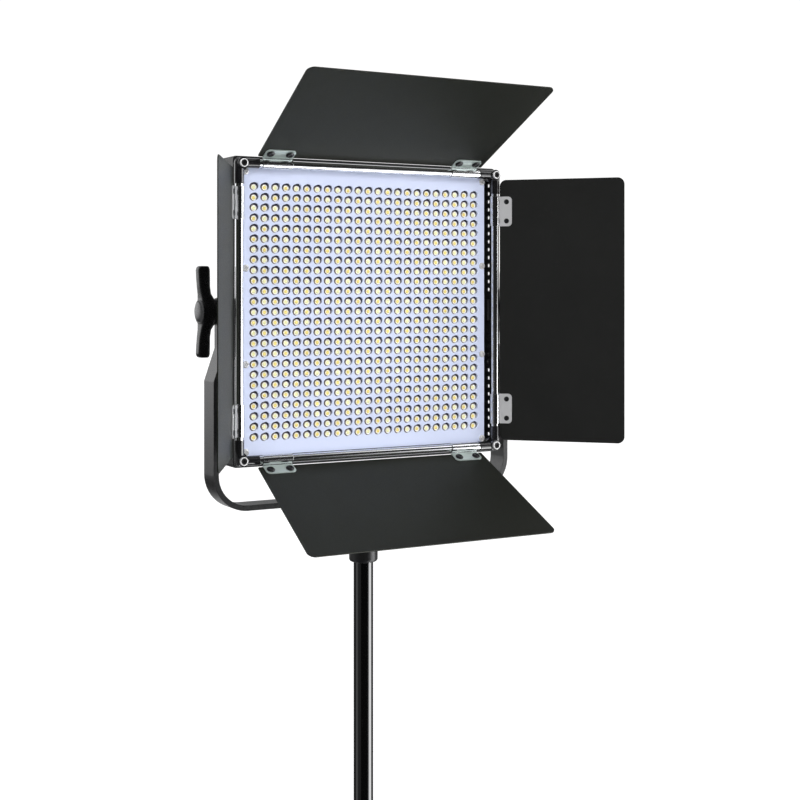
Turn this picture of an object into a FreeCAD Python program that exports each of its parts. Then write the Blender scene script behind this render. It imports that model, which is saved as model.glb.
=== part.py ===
import FreeCAD, Part
import math
import os

import Sketcher

V = FreeCAD.Vector
doc = FreeCAD.newDocument("led_panel_light")

# ------------------------------------------------------------------ sizes (mm)
# Row frame: origin at the centre of the stand tube's lower end, +Z up,
# the lit face looks along -Y, +X is to the right of someone facing the lit face.
SIZES = [
    ("tilt_z", 505.0, "height of the tilt axis"),
    # head
    ("case_hw", 147.5, "casing half width"),
    ("case_hh", 148.0, "casing half height"),
    ("case_front", -15.0, "casing front lip, y"),
    ("case_back", 18.0, "casing back face, y"),
    ("case_wall", 1.5, "casing sheet"),
    ("vent_rad", 2.25, "side vent radius"),
    ("vent_first", 21.5, "first vent above the tilt axis"),
    ("vent_pitch", 8.4, "vent pitch"),
    ("vent_y", -5.5, "vent row, y"),
    ("plate_hw", 137.6, "reflector half width"),
    ("plate_side", -1.0, "reflector middle, x"),
    ("plate_hh", 138.5, "reflector upper edge above the tilt axis"),
    ("plate_low", 137.5, "reflector lower edge below the tilt axis"),
    ("plate_cut", 3.5, "reflector corner cut"),
    ("plate_front", -12.0, "reflector face, y"),
    ("plate_thick", 2.0, "reflector thickness"),
    ("led_cols", 23, "LED columns"),
    ("led_rows", 25, "LED rows"),
    ("led_dx", 11.29, "LED column pitch"),
    ("led_dz", 10.0, "LED row pitch"),
    ("led_hole", 3.75, "reflector slot, half width"),
    ("led_slot", 1.1, "reflector slot, end centre from its middle"),
    ("led_lean", 18.0, "reflector slot, lean above the horizontal"),
    ("led_side", -0.4, "reflector slot middle, x offset"),
    ("led_rad", 2.9, "LED package radius"),
    ("led_drop", 0.8, "LED centre below its slot's middle"),
    ("led_push", 0.25, "LED centre, x offset"),
    ("board_hw", 128.6, "LED board half width"),
    ("board_hh", 130.0, "LED board half height"),
    ("screw_x", 133.5, "plate screw, x"),
    ("screw_z", 134.0, "outer plate screw, z"),
    ("screw_zi", 46.0, "inner plate screw, z"),
    ("screw_shift", -4.4, "offset of the two inner screws on the left"),
    ("screw_head", 3.4, "plate screw head radius"),
    # barn door frame
    ("rod_rad", 4.0, "hinge rod radius"),
    ("rod_x", 144.0, "side rod axis, x"),
    ("rod_z", 141.0, "top rod axis, z"),
    ("rod_y", -21.5, "rod axis, y"),
    ("elbow_rad", 4.75, "corner elbow radius"),
    ("elbow_arm", 20.0, "corner elbow arm length"),
    ("gusset_leg", 13.5, "corner elbow web, leg from the rod axes"),
    ("post_x", 141.7, "corner post, x"),
    ("post_z", 140.5, "corner post, z"),
    ("post_rad", 4.0, "corner post radius"),
    ("post_front", -29.0, "corner post face, y"),
    # doors
    ("sleeve_bore", 4.05, "hinge sleeve bore radius"),
    ("sleeve_rad", 5.0, "hinge sleeve radius"),
    ("hp_len", 31.0, "hinge plate length along the rod"),
    ("hp_reach", 17.0, "hinge plate reach from the rod axis"),
    ("hp_hole", 11.5, "hinge screw from the rod axis"),
    ("hp_gap", 20.0, "hinge screw spacing"),
    ("hp_top", 105.0, "hinge plate centre on a top or bottom rod"),
    ("hp_side", 103.0, "hinge plate centre on a side rod"),
    ("leaf_thick", 1.0, "door leaf sheet"),
    ("leaf_corner", 7.0, "door leaf corner radius"),
    ("leaf_heel", 1.5, "top and bottom leaf corner radius at the root"),
    ("top_reach", 145.6, "top and bottom leaf edge from the rod axis"),
    ("top_root", 4.5, "top and bottom leaf root from the rod axis"),
    ("top_hw_root", 125.5, "top leaf half width at the root"),
    ("top_hw_edge", 131.5, "top leaf half width at the free edge"),
    ("side_reach", 133.8, "side leaf edge from the rod axis"),
    ("side_root", 4.0, "side leaf root from the rod axis"),
    ("side_hw_root", 136.0, "side leaf half width at the root"),
    ("side_hw_edge", 136.2, "side leaf half width at the free edge"),
    ("open_top", 61.6, "top door angle from the panel plane"),
    ("open_bottom", 63.0, "bottom door angle"),
    ("open_right", 45.0, "right door angle"),
    ("open_left", 61.8, "left door angle"),
    # yoke
    ("yoke_hw", 165.9, "yoke half width"),
    ("yoke_bar", 5.3, "yoke bar thickness"),
    ("yoke_half", 12.25, "half the yoke bar width"),
    ("yoke_up", 155.3, "upper arm outer face, x"),
    ("yoke_low", -190.0, "bottom bar underside from the tilt axis"),
    ("yoke_curve", 35.0, "outer corner radius"),
    ("jog_low", -66.0, "joggle lower end"),
    ("jog_high", -35.0, "joggle upper end"),
    # stand
    ("tube_rad", 10.0, "stand tube radius"),
    ("tube_bore", 8.5, "stand tube bore radius"),
    ("tube_top", 252.5, "stand tube top, z"),
    ("spigot_rad", 8.0, "spigot radius"),
    ("recv_rad", 14.5, "receiver radius"),
    ("recv_bore", 8.05, "receiver bore radius"),
    ("recv_low", 253.0, "receiver lower end, z"),
    ("clamp_z", 276.0, "clamp screw, z"),
    # tilt hardware
    ("stud_rad", 3.95, "M8 stud radius"),
    ("nut_bore", 4.0, "M8 thread radius"),
    ("knob_rad", 13.5, "tilt knob hub radius"),
    ("knob_span", 43.5, "tilt knob wing reach"),
    # rear
    ("hump_hw", 62.0, "control housing half width"),
    ("hump_low", -95.0, "control housing lower end from the tilt axis"),
    ("hump_high", 62.0, "control housing upper end"),
    ("hump_back", 46.0, "control housing back face, y"),
    ("hump_wall", 2.0, "control housing wall"),
    ("dial_x", 34.0, "dial axis, x"),
    ("dial_z", -14.0, "dial axis from the tilt axis"),
    ("dial_rad", 9.5, "dial radius"),
    ("batt_x", 97.0, "battery shoe centre, x"),
    ("batt_hw", 19.5, "battery shoe half width"),
    ("batt_low", -52.0, "battery shoe lower end"),
    ("batt_high", 20.0, "battery shoe upper end"),
]
sheet = doc.addObject("Spreadsheet::Sheet", "Sizes")
val = {}
for i, (name, value, note) in enumerate(SIZES):
    row = str(i + 1)
    sheet.set("A" + row, name)
    sheet.set("B" + row, repr(value))
    sheet.set("C" + row, note)
    sheet.setAlias("B" + row, name)
    val[name] = float(value)
doc.recompute()
for name in val:
    val[name] = float(sheet.get(name))


class Q:
    """A size that carries its value and the sheet expression behind it."""

    def __init__(self, value, text):
        self.v, self.e = float(value), text

    def __add__(self, o):
        o = q(o)
        return Q(self.v + o.v, "(%s + %s)" % (self.e, o.e))

    __radd__ = __add__

    def __neg__(self):
        return Q(-self.v, "(-1 * %s)" % self.e)

    def __sub__(self, o):
        return self + (-q(o))

    def __rsub__(self, o):
        return q(o) + (-self)

    def __mul__(self, o):
        o = q(o)
        return Q(self.v * o.v, "(%s * %s)" % (self.e, o.e))

    __rmul__ = __mul__


def q(x):
    return x if isinstance(x, Q) else Q(x, "(%.6f)" % x)


def d(name):
    return Q(val[name], "Sizes." + name)


tz = d("tilt_z")
exports = []


# ------------------------------------------------------------------ builders
def place(obj, base, rot=None):
    p = FreeCAD.Placement(V(*[q(b).v for b in base]), rot or FreeCAD.Rotation())
    obj.Placement = p
    for axis, b in zip("xyz", base):
        if isinstance(b, Q):
            obj.setExpression("Placement.Base." + axis, b.e)
    return obj


def box(x0, x1, y0, y1, z0, z1, name="Box"):
    o = doc.addObject("Part::Box", name)
    for prop, a, b in (("Length", x0, x1), ("Width", y0, y1), ("Height", z0, z1)):
        n = q(b) - q(a)
        setattr(o, prop, n.v)
        o.setExpression(prop, n.e)
    return place(o, (q(x0), q(y0), q(z0)))


TURN = {
    "x": FreeCAD.Rotation(V(0, 1, 0), 90),
    "y": FreeCAD.Rotation(V(1, 0, 0), -90),
    "z": FreeCAD.Rotation(),
}


def cyl(axis, r, a0, a1, c0, c1, name="Cylinder"):
    """A cylinder along a row axis from a0 to a1; c0, c1 are its other two coordinates in X, Y, Z order."""
    o = doc.addObject("Part::Cylinder", name)
    r, n = q(r), q(a1) - q(a0)
    o.Radius, o.Height = r.v, n.v
    o.setExpression("Radius", r.e)
    o.setExpression("Height", n.e)
    base = {"x": (a0, c0, c1), "y": (c0, a0, c1), "z": (c0, c1, a0)}[axis]
    return place(o, [q(b) for b in base], TURN[axis])


def cone(axis, r1, r2, a0, a1, c0, c1):
    o = doc.addObject("Part::Cone", "Cone")
    n = q(a1) - q(a0)
    o.Radius1, o.Radius2, o.Height = q(r1).v, q(r2).v, n.v
    o.setExpression("Radius1", q(r1).e)
    o.setExpression("Radius2", q(r2).e)
    o.setExpression("Height", n.e)
    base = {"x": (a0, c0, c1), "y": (c0, a0, c1), "z": (c0, c1, a0)}[axis]
    return place(o, [q(b) for b in base], TURN[axis])


def ball(r, x, y, z):
    o = doc.addObject("Part::Sphere", "Sphere")
    o.Radius = q(r).v
    o.setExpression("Radius", q(r).e)
    return place(o, (q(x), q(y), q(z)))


def fuse(*objs):
    o = doc.addObject("Part::MultiFuse", "Fuse")
    o.Shapes = list(objs)
    return o


def cut(base, *tools):
    tool = tools[0] if len(tools) == 1 else fuse(*tools)
    o = doc.addObject("Part::Cut", "Cut")
    o.Base, o.Tool = base, tool
    return o


def group(*objs):
    o = doc.addObject("Part::Compound", "Group")
    o.Links = list(objs)
    return o


def out(obj, label):
    obj.Label = label
    exports.append(obj)
    return obj


def raw(label, shape, base=None):
    o = doc.addObject("Part::Feature", label)
    o.Shape = shape
    if base:
        o.Placement = FreeCAD.Placement(V(*base), FreeCAD.Rotation())
    return out(o, label)


def new_body(label, base=(0, 0, 0), rot=None):
    b = doc.addObject("PartDesign::Body", "Body_" + label)
    b.Label = label
    place(b, base, rot)
    exports.append(b)
    return b


def plane(body, role):
    return [f for f in body.Origin.OriginFeatures if getattr(f, "Role", "") == role][0]


def sketch(body, role, offset=0):
    sk = body.newObject("Sketcher::SketchObject", "Sketch")
    sk.AttachmentSupport = [(plane(body, role), "")]
    sk.MapMode = "FlatFace"
    off = q(offset)
    sk.AttachmentOffset = FreeCAD.Placement(V(0, 0, off.v), FreeCAD.Rotation())
    if isinstance(offset, Q):
        sk.setExpression("AttachmentOffset.Base.z", off.e)
    return sk


def pin(sk, geo, pos, x, y):
    """Tie a sketch point to its two coordinates, each bound to the sheet."""
    for kind, c in (("DistanceX", q(x)), ("DistanceY", q(y))):
        k = sk.addConstraint(Sketcher.Constraint(kind, -1, 1, geo, pos, c.v))
        if "Sizes." in c.e:
            sk.setExpression("Constraints[%d]" % k, c.e)


def poly(sk, pts):
    """A closed outline of straight lines, and of arcs where a point is ("arc", x, y, xc, yc)."""
    n = len(pts)
    flat = [p[1:3] if p[0] == "arc" else p for p in pts]
    ids = []
    for i in range(n):
        a, b = flat[i], flat[(i + 1) % n]
        pa = V(q(a[0]).v, q(a[1]).v, 0)
        pb = V(q(b[0]).v, q(b[1]).v, 0)
        if pts[i][0] == "arc":
            c = V(q(pts[i][3]).v, q(pts[i][4]).v, 0)
            ccw = pts[i][5]
            a0 = math.atan2(pa.y - c.y, pa.x - c.x)
            a1 = math.atan2(pb.y - c.y, pb.x - c.x)
            if not ccw:
                a0, a1 = a1, a0
            while a1 <= a0:
                a1 += 2 * math.pi
            g = Part.ArcOfCircle(Part.Circle(c, V(0, 0, 1), (pa - c).Length), a0, a1)
            ids.append((sk.addGeometry(g, False), "arc", ccw))
        else:
            ids.append((sk.addGeometry(Part.LineSegment(pa, pb), False), "line", True))
    for i in range(n):
        g, kind, ccw = ids[i]
        g2, kind2, ccw2 = ids[(i + 1) % n]
        end = 2 if ccw else 1
        start = 1 if ccw2 else 2
        sk.addConstraint(Sketcher.Constraint("Coincident", g, end, g2, start))
    for i in range(n):
        g, kind, ccw = ids[i]
        pin(sk, g, 1 if ccw else 2, *flat[i])
        if kind == "arc":
            # both ends are tied, so one coordinate of the centre is left: the one across the chord
            pa, pb = flat[i], flat[(i + 1) % n]
            wide = abs(q(pb[0]).v - q(pa[0]).v) > abs(q(pb[1]).v - q(pa[1]).v)
            c, way = (q(pts[i][4]), "DistanceY") if wide else (q(pts[i][3]), "DistanceX")
            k = sk.addConstraint(Sketcher.Constraint(way, -1, 1, g, 3, c.v))
            if "Sizes." in c.e:
                sk.setExpression("Constraints[%d]" % k, c.e)


def disc(sk, x, y, r):
    g = sk.addGeometry(
        Part.Circle(V(q(x).v, q(y).v, 0), V(0, 0, 1), q(r).v), False
    )
    pin(sk, g, 3, x, y)
    k = sk.addConstraint(Sketcher.Constraint("Radius", g, q(r).v))
    if "Sizes." in q(r).e:
        sk.setExpression("Constraints[%d]" % k, q(r).e)


def pad(body, sk, length, kind="PartDesign::Pad"):
    f = body.newObject(kind, kind.split("::")[1])
    f.Profile = sk
    n = q(length)
    f.Length = n.v
    if "Sizes." in n.e:
        f.setExpression("Length", n.e)
    doc.recompute()
    body.Tip = f
    return f


def pocket(body, sk, length):
    return pad(body, sk, length, "PartDesign::Pocket")


def spin(body, sk):
    """Turn a sketch on the XZ plane a full turn about the body's own Z axis."""
    f = body.newObject("PartDesign::Revolution", "Revolution")
    f.Profile = sk
    f.ReferenceAxis = (sk, ["V_Axis"])
    f.Angle = 360
    doc.recompute()
    body.Tip = f
    return f


def round_rect(x, y0, y1, r, x1=None):
    """Outline symmetric about the Y axis: half width x at y0, x1 at y1, corner radius r."""
    x1 = x if x1 is None else x1
    return [
        (-x + r, y0),
        ("arc", x - r, y0, x - r, y0 + r, True),
        (x, y0 + r),
        ("arc", x1, y1 - r, x1 - r, y1 - r, True),
        (x1 - r, y1),
        ("arc", -x1 + r, y1, -x1 + r, y1 - r, True),
        (-x1, y1 - r),
        ("arc", -x, y0 + r, -x + r, y0 + r, True),
    ]


# ------------------------------------------------------------------ stand top
b = new_body("stand_tube")
sk = sketch(b, "XY_Plane")
disc(sk, 0, 0, d("tube_rad"))
disc(sk, 0, 0, d("tube_bore"))
pad(b, sk, d("tube_top"))
sk = sketch(b, "XZ_Plane", -20)
disc(sk, 0, 232, 1.5)
f = pocket(b, sk, 21)
f.Reversed = True

b = new_body("stand_spigot")
sk = sketch(b, "XZ_Plane")
poly(sk, [
    (0, 212), (d("tube_bore") - 1, 212), (d("tube_bore"), 213), (d("tube_bore"), d("tube_top")),
    (d("tube_rad"), d("tube_top")), (d("tube_rad"), d("recv_low") - 0.05),
    (d("spigot_rad"), d("recv_low") - 0.05), (d("spigot_rad"), 270), (d("spigot_rad") - 1, 271),
    (d("spigot_rad") - 1, 281), (d("spigot_rad"), 282), (d("spigot_rad"), 295.5),
    (d("spigot_rad") - 1.5, 297), (0, 297),
])
spin(b, sk)
sk = sketch(b, "XZ_Plane", -20)
disc(sk, 0, 232, 1.5)
f = pocket(b, sk, 21)
f.Reversed = True

doc.recompute()
out(cyl("y", 1.5, -1, 9.4, 0, 232), "spigot_pin")

# ------------------------------------------------------------------ yoke
b = new_body("yoke_bracket", (0, 0, tz))
sk = sketch(b, "XZ_Plane", -d("yoke_half"))
W, T, U = d("yoke_hw"), d("yoke_bar"), d("yoke_up")
L, C = d("yoke_low"), d("yoke_curve")
JL, JH, top = d("jog_low"), d("jog_high"), q(12.25)
poly(sk, [
    ("arc", W - C, L, W - C, L + C, True),
    (W, L + C),
    (W, JL),
    (U, JH),
    (U, top),
    (U - T, top),
    (U - T, JH - 1.2),
    (W - T, JL - 1.2),
    ("arc", W - T, L + C, W - C, L + C, False),
    (W - C, L + T),
    ("arc", -W + C, L + T, -W + C, L + C, False),
    (-W + T, L + C),
    (-W + T, JL - 1.2),
    (-U + T, JH - 1.2),
    (-U + T, top),
    (-U, top),
    (-U, JH),
    (-W, JL),
    ("arc", -W, L + C, -W + C, L + C, True),
    (-W + C, L),
])
pad(b, sk, d("yoke_half") * 2)
sk = sketch(b, "YZ_Plane", 220)
YH = d("yoke_half")
poly(sk, [
    (-14, 0),
    ("arc", -YH, 0, 0, 0, False),
    (YH, 0),
    (14, 0),
    (14, 14),
    (-14, 14),
])
pocket(b, sk, 440)
sk = sketch(b, "YZ_Plane", 220)
disc(sk, 0, 0, 4.3)
pocket(b, sk, 440)
sk = sketch(b, "XY_Plane", -180)
disc(sk, 0, 0, 4.2)
pocket(b, sk, 15)

b = new_body("stand_receiver")
sk = sketch(b, "XZ_Plane")
RB, RR, RL = d("recv_bore"), d("recv_rad"), d("recv_low")
TOP = tz + d("yoke_low")
poly(sk, [
    (RB, RL), ("arc", RR - 3, RL, RR - 3, RL + 3, True), (RR, RL + 3), (RR, TOP - 4),
    (RR - 1.5, TOP), (4.0, TOP), (4.0, 300), (RB, 300),
])
spin(b, sk)
sk = sketch(b, "XZ_Plane", -20)
disc(sk, 0, d("clamp_z"), 8)
pad(b, sk, 9)
sk = sketch(b, "XZ_Plane", -30)
disc(sk, 0, d("clamp_z"), d("nut_bore"))
f = pocket(b, sk, 28)
f.Reversed = True
doc.recompute()

bar_top = tz + d("yoke_low") + d("yoke_bar")
out(cut(
    fuse(cyl("z", 4.0, 303, bar_top + 1.6, 0, 0), cyl("z", 7.0, bar_top + 1.6, bar_top + 6.2, 0, 0)),
    box(-1.1, 1.1, -7.5, 7.5, bar_top + 4.8, bar_top + 7),
), "receiver_bolt")
out(cut(cyl("z", 9.0, bar_top, bar_top + 1.6, 0, 0), cyl("z", 4.2, bar_top - 1, bar_top + 2, 0, 0)), "receiver_washer")

# clamp screw at the back of the receiver
b = new_body("receiver_knob", (0, 0, d("clamp_z")), FreeCAD.Rotation(V(1, 0, 0), -90))
sk = sketch(b, "XY_Plane", 24)
disc(sk, 0, 0, 10)
pad(b, sk, 13)
for k in range(5):
    a = math.radians(90 + 72 * k)
    sk = sketch(b, "XY_Plane", 25)
    disc(sk, 8.8 * math.cos(a), 8.8 * math.sin(a), 4.6)
    pad(b, sk, 12)
sk = sketch(b, "XY_Plane", 21.5)
disc(sk, 0, 0, 7.2)
pad(b, sk, 3)
sk = sketch(b, "XY_Plane", 33)
disc(sk, 0, 0, d("stud_rad"))
pocket(b, sk, 20)
out(cyl("y", d("stud_rad"), 8.2, 33, 0, d("clamp_z")), "receiver_stud")

# ------------------------------------------------------------------ casing
CW, CH, CT = d("case_hw"), d("case_hh"), d("case_wall")
CF, CB = d("case_front"), d("case_back")
b = new_body("rear_casing", (0, 0, tz))
sk = sketch(b, "XZ_Plane", -CB)
poly(sk, round_rect(CW, -CH, CH, q(3.0)))
pad(b, sk, CB - CF)
sk = sketch(b, "XZ_Plane", -CF + 1)
poly(sk, round_rect(CW - CT, -CH + CT, CH - CT, q(1.6)))
pocket(b, sk, CB - CT - CF + 1)
# side vents and the tilt axis holes run right through along X
sk = sketch(b, "YZ_Plane", 200)
for k in range(14):
    for s in (1, -1):
        disc(sk, d("vent_y"), (d("vent_first") + d("vent_pitch") * k) * s, d("vent_rad"))
disc(sk, 0, 0, 4.3)
pocket(b, sk, 400)
# slots in the top and bottom walls
sk = sketch(b, "XY_Plane", 200)
for k in range(-9, 10):
    if k:
        poly(sk, [(k * 12.0 - 4, 3.0), (k * 12.0 + 4, 3.0), (k * 12.0 + 4, 6.0), (k * 12.0 - 4, 6.0)])
pocket(b, sk, 400)
# back wall: cable window, screw holes, vent slots
sk = sketch(b, "XZ_Plane", -30)
poly(sk, [(-30, -20), (30, -20), (30, 20), (-30, 20)])
for x, z in [(-128, 128), (0, 136), (128, 128), (-128, -128), (0, -136), (128, -128), (-136, 0), (136, 0)]:
    disc(sk, x, z, 1.6)
for s in (1, -1):
    for k in range(9):
        z0 = s * (78 + 6.0 * k) if s > 0 else -(106 + 3.6 * k)
        if s > 0:
            poly(sk, [(-46, z0), (46, z0), (46, z0 + 2.6), (-46, z0 + 2.6)])
    for k in range(8):
        x0 = s * 97.0
        z0 = 38 + 6.0 * k
        poly(sk, [(x0 - 24, z0), (x0 + 24, z0), (x0 + 24, z0 + 2.6), (x0 - 24, z0 + 2.6)])
for x in (-50, 50):
    for z in (-86, 53):
        disc(sk, x, z, 1.6)
for s in (1, -1):
    for z in (-45, 13):
        disc(sk, s * 97.0, z, 1.6)
f = pocket(b, sk, 14)
f.Reversed = True
doc.recompute()

# ------------------------------------------------------------------ lit face
PW, PH, PC = val["plate_hw"], val["plate_hh"], val["plate_cut"]
pf, pt = val["plate_front"], val["plate_thick"]
Z0 = val["tilt_z"]


def xz_wire(pts, y):
    vs = [V(x, y, z) for x, z in pts]
    return Part.makePolygon(vs + [vs[0]])


def xz_circle(x, z, r, y):
    return Part.Wire([Part.makeCircle(r, V(x, y, z), V(0, 1, 0))])


def xz_slot(x, z, half, rad, lean):
    """Slot with round ends, leaning up towards +X."""
    c, s = math.cos(math.radians(lean)), math.sin(math.radians(lean))

    def at(u, w):
        return V(x + u * c - w * s, 0, z + u * s + w * c)
    a, b = at(half, rad), at(half, -rad)
    e, f = at(-half, -rad), at(-half, rad)
    return Part.Wire([
        Part.LineSegment(f, a).toShape(), Part.Arc(a, at(half + rad, 0), b).toShape(),
        Part.LineSegment(b, e).toShape(), Part.Arc(e, at(-half - rad, 0), f).toShape()])


# reflector: one sheet with a leaning slot over each LED and eight screw holes
PL, PX = val["plate_low"], val["plate_side"]
outline = xz_wire([
    (PX - PW + PC, -PL), (PX + PW - PC, -PL), (PX + PW, -PL + PC), (PX + PW, PH - PC),
    (PX + PW - PC, PH), (PX - PW + PC, PH), (PX - PW, PH - PC), (PX - PW, -PL + PC)], 0)
cols, rows = int(val["led_cols"]), int(val["led_rows"])
led_at = []
for i in range(cols):
    for j in range(rows):
        x = (i - (cols - 1) / 2.0) * val["led_dx"]
        z = ((rows - 1) / 2.0 - j) * val["led_dz"]
        jj = min(j, rows - 2)
        led_at.append((x, z, (i + jj) % 2 == 1))
screws_at = [(sx * val["screw_x"], sz * z + (val["screw_shift"] if sx < 0 and z < 100 else 0.0))
             for sx in (1, -1) for sz in (1, -1) for z in (val["screw_z"], val["screw_zi"])]
wires = [outline]
wires += [xz_slot(x + val["led_side"], z, val["led_slot"], val["led_hole"], val["led_lean"]) for x, z, warm in led_at]
wires += [xz_circle(x, z, 1.6, 0) for x, z in screws_at]
face = Part.Face(wires, "Part::FaceMakerBullseye")
plate = face.extrude(V(0, pt, 0))
raw("reflector_plate", plate, (0, pf, Z0))

# aluminium board and its LED packages: a round cup with a raised lens
board_front = -8.4
out(box(-d("board_hw"), d("board_hw"), board_front, -6.8, tz - d("board_hh"), tz + d("board_hh")), "led_board")


def led(x, z):
    rl = val["led_rad"]
    pr = [V(0, 0, 0), V(rl, 0, 0), V(rl, -1.1, 0), V(rl - 0.9, -2.0, 0), V(0, -2.2, 0)]
    w = Part.makePolygon(pr + [pr[0]])
    s = Part.Face(w).revolve(V(0, 0, 0), V(0, 1, 0), 360)
    if isinstance(s, Part.Shell):
        s = Part.Solid(s)
    s.translate(V(x, 0, z))
    return s


led_z = Z0 - val["led_drop"]
led_x = val["led_push"]
raw("leds_warm", Part.makeCompound([led(x, z) for x, z, warm in led_at if warm]), (led_x, board_front, led_z))
raw("leds_cool", Part.makeCompound([led(x, z) for x, z, warm in led_at if not warm]), (led_x, board_front, led_z))

# heat sink behind the board, ribbed, carried on the standoffs
parts = [box(-136, 136, -6.8, -4.8, tz - 135, tz + 135)]
for k in range(17):
    x = -120 + 15.0 * k
    parts.append(box(x - 0.8, x + 0.8, -4.8, 7, tz - 125, tz + 125))
holes = [cyl("y", 3.25, -8, -3, x, tz + z) for x, z in screws_at]
out(cut(fuse(*parts), *holes), "heat_sink")

stand_offs, plate_screws = [], []
for x, z in screws_at:
    stand_offs.append(cut(
        cyl("y", 3.2, d("plate_front") + d("plate_thick"), CB - CT, x, tz + z),
        cyl("y", 1.5, -11, 4, x, tz + z)))
    s = fuse(
        cyl("y", 1.5, d("plate_front"), 2, x, tz + z),
        cyl("y", d("screw_head"), d("plate_front") - 1.2, d("plate_front"), x, tz + z),
        cone("y", d("screw_head") - 1.3, d("screw_head"), d("plate_front") - 2.2, d("plate_front") - 1.2, x, tz + z))
    plate_screws.append(cut(s, box(x - 2, x + 2, -15, -13.2, tz + z - 0.45, tz + z + 0.45),
                            box(x - 0.45, x + 0.45, -15, -13.2, tz + z - 2, tz + z + 2)))
out(group(*stand_offs), "plate_standoffs")
out(group(*plate_screws), "plate_screws")

# driver electronics in front of the back wall
out(cut(box(-85, 85, 10.4, 12.0, tz - 60, tz + 60),
        *[cyl("y", 1.6, 9, 13, x, tz + z) for x in (-78, 78) for z in (-53, 53)]), "driver_board")
parts = [cyl("y", 3, 12.0, CB - CT, x, tz + z) for x in (-78, 78) for z in (-53, 53)]
parts += [box(x - 9, x + 9, 12.0, 16.0, tz + z - 9, tz + z + 9) for x in (-52, 52) for z in (-30, 30)]
parts += [box(x - 4, x + 4, 12.0, 14.2, tz + z - 5, tz + z + 5) for x in (-20, 0, 20) for z in (-45, 45)]
out(group(*parts), "driver_parts")

# ------------------------------------------------------------------ barn door frame
RX, RZ, RY, RRD = d("rod_x"), d("rod_z"), d("rod_y"), d("rod_rad")
px, pz = d("post_x"), d("post_z")
ex = px - d("post_rad") - 1.2
ez = pz - d("post_rad") - 0.7
out(cyl("x", RRD, -ex, ex, RY, tz + RZ), "rod_top")
out(cyl("x", RRD, -ex, ex, RY, tz - RZ), "rod_bottom")
out(cyl("z", RRD, tz - ez, tz + ez, -RX, RY), "rod_left")
out(cyl("z", RRD, tz - ez, tz + ez, RX, RY), "rod_right")

elbows, posts, bolts, brackets = [], [], [], []
ER, EA = d("elbow_rad"), d("elbow_arm")


def span(a, b):
    return (a, b) if q(a).v < q(b).v else (b, a)


for sx in (1, -1):
    for sz in (1, -1):
        cx, cz = RX * sx, tz + RZ * sz
        a0, a1 = span(cx - EA * sx, cx)
        h0, h1 = span(cz - EA * sz, cz)
        arm_x = cyl("x", ER, a0, a1, RY, cz)
        arm_z = cyl("z", ER, h0, h1, cx, RY)
        knee = ball(ER, cx, RY, cz)
        hub = cyl("y", 5.4, -27.0, -16.2, px * sx, tz + pz * sz)
        # triangular web in the inside corner of the elbow
        tri = doc.addObject("Part::Wedge", "Web")
        leg = d("gusset_leg") - 4.6
        for prop in ("Xmin", "Ymin", "Zmin", "X2min", "Z2min", "X2max"):
            setattr(tri, prop, 0)
        for prop in ("Xmax", "Ymax"):
            setattr(tri, prop, leg.v)
            tri.setExpression(prop, leg.e)
        tri.Zmax = tri.Z2max = 3.2
        m = FreeCAD.Matrix(-sx, 0, 0, 0, 0, 0, -sx * sz, 0, 0, -sz, 0, 0, 0, 0, 0, 1)
        place(tri, (cx - 2.3 * sx, -16.6 if sx * sz > 0 else -19.8, cz - 2.3 * sz), FreeCAD.Placement(m).Rotation)
        bore_x0, bore_x1 = span(cx - (EA + 1) * sx, ex * sx)
        bore_z0, bore_z1 = span(cz - (EA + 1) * sz, tz + ez * sz)
        elbows.append(cut(
            fuse(arm_x, arm_z, knee, hub, tri),
            cyl("x", RRD, bore_x0, bore_x1, RY, cz),
            cyl("z", RRD, bore_z0, bore_z1, cx, RY),
            cyl("y", d("post_rad"), -30, -10, px * sx, tz + pz * sz)))
        posts.append(cut(
            cyl("y", d("post_rad"), d("post_front"), -12, px * sx, tz + pz * sz),
            cyl("y", 2.0, -30, -11, px * sx, tz + pz * sz),
            cyl("y", 3.1, -30, -25.4, px * sx, tz + pz * sz)))
        bolts.append(cut(
            fuse(cyl("y", 2.0, -26, 2, px * sx, tz + pz * sz),
                 cyl("y", 3.05, -28.4, -25.4, px * sx, tz + pz * sz)),
            cyl("y", 1.7, -29, -27, px * sx, tz + pz * sz)))
        b0, b1 = span(q(138.0) * sx, (CW - CT) * sx)
        c0, c1 = span(tz + 136.0 * sz, tz + (CH - CT) * sz)
        edge = box(b0, b1, -12, CB - CT, c0, c1)
        corner = cyl("y", 2.4, -13, 17, (CW - CT) * sx, tz + (CH - CT) * sz)
        brackets.append(cut(edge, cyl("y", 2.0, -13, 3, px * sx, tz + pz * sz), corner))
out(group(*elbows), "corner_elbows")
out(group(*posts), "corner_posts")
out(group(*bolts), "corner_bolts")
out(group(*brackets), "corner_brackets")

# ------------------------------------------------------------------ doors
def door_frame(side, a):
    """Local axes of a door: X from the rod towards the free edge, Y to its outer face, Z along the rod."""
    s, c = math.sin(math.radians(a)), math.cos(math.radians(a))
    e, n = {
        "right": (V(c, -s, 0), V(s, c, 0)),
        "left": (V(-c, -s, 0), V(-s, c, 0)),
        "top": (V(0, -s, c), V(0, c, s)),
        "bottom": (V(0, -s, -c), V(0, c, -s)),
    }[side]
    r = e.cross(n)
    m = FreeCAD.Matrix(e.x, n.x, r.x, 0, e.y, n.y, r.y, 0, e.z, n.z, r.z, 0, 0, 0, 0, 1)
    return FreeCAD.Placement(m).Rotation


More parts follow.
